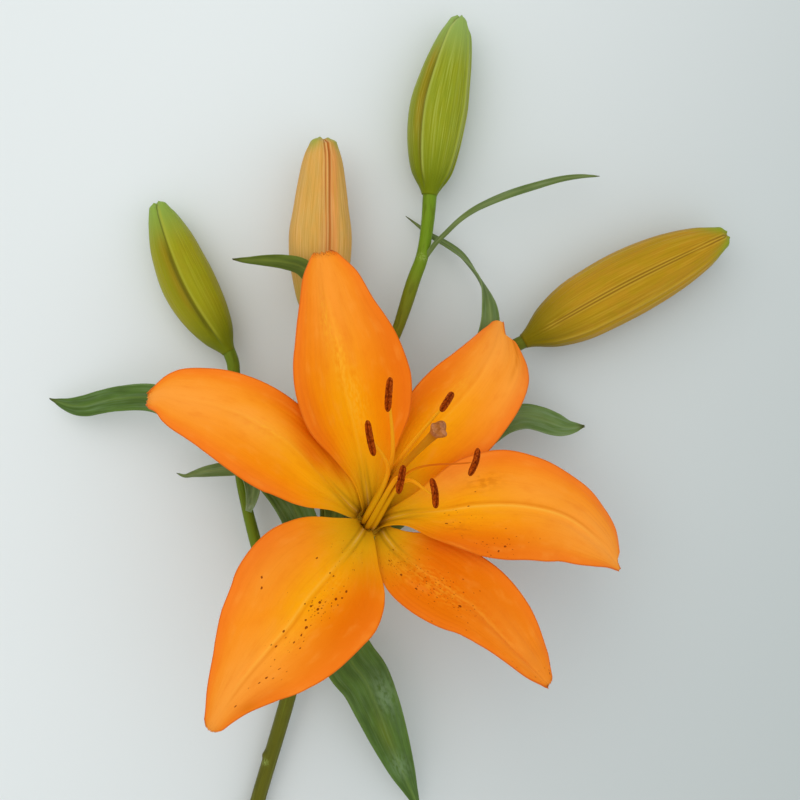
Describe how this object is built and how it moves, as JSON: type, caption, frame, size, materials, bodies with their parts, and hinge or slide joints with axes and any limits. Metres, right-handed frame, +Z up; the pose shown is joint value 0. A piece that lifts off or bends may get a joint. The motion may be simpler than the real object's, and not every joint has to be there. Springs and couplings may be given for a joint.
{
  "type": "tiger lily",
  "caption": "Cut lily stem lying flat, with an open orange bloom that faces up, closed buds on stalks of their own, and narrow green leaves.",
  "frame": {"origin": "on the surface the lily lies on, under the middle of its bounding box", "axes": "+Z up; +Y from the cut end of the stem towards the topmost bud; +X to the right of that, seen from above"},
  "size_m": [0.2368, 0.3098, 0.0784],
  "materials": {
    "stem": "satin",
    "leaf": "satin",
    "petal": "satin",
    "green_bud": "satin",
    "golden_bud": "satin",
    "peach_bud": "satin",
    "filament": "satin",
    "anther": "matte",
    "pistil": "satin"
  },
  "bodies": {
    "root": {"stem": "stem", "leaf_lower_right": "leaf", "leaf_left": "leaf", "leaf_upper_left": "leaf", "leaf_upper_right": "leaf", "leaf_right": "leaf", "bract_left": "leaf", "bract_top": "leaf", "bud_top": "green_bud", "bud_left": "green_bud", "bud_middle": "peach_bud", "bud_right": "golden_bud", "petal_inner_top": "petal", "petal_inner_right": "petal", "petal_inner_left": "petal", "petal_outer_top": "petal", "petal_outer_bottom": "petal", "petal_outer_left": "petal", "filament_1": "filament", "filament_2": "filament", "filament_3": "filament", "filament_4": "filament", "filament_5": "filament", "filament_6": "filament", "anther_1": "anther", "anther_2": "anther", "anther_3": "anther", "anther_4": "anther", "anther_5": "anther", "anther_6": "anther", "pistil": "pistil"}
  },
  "joints": []
}
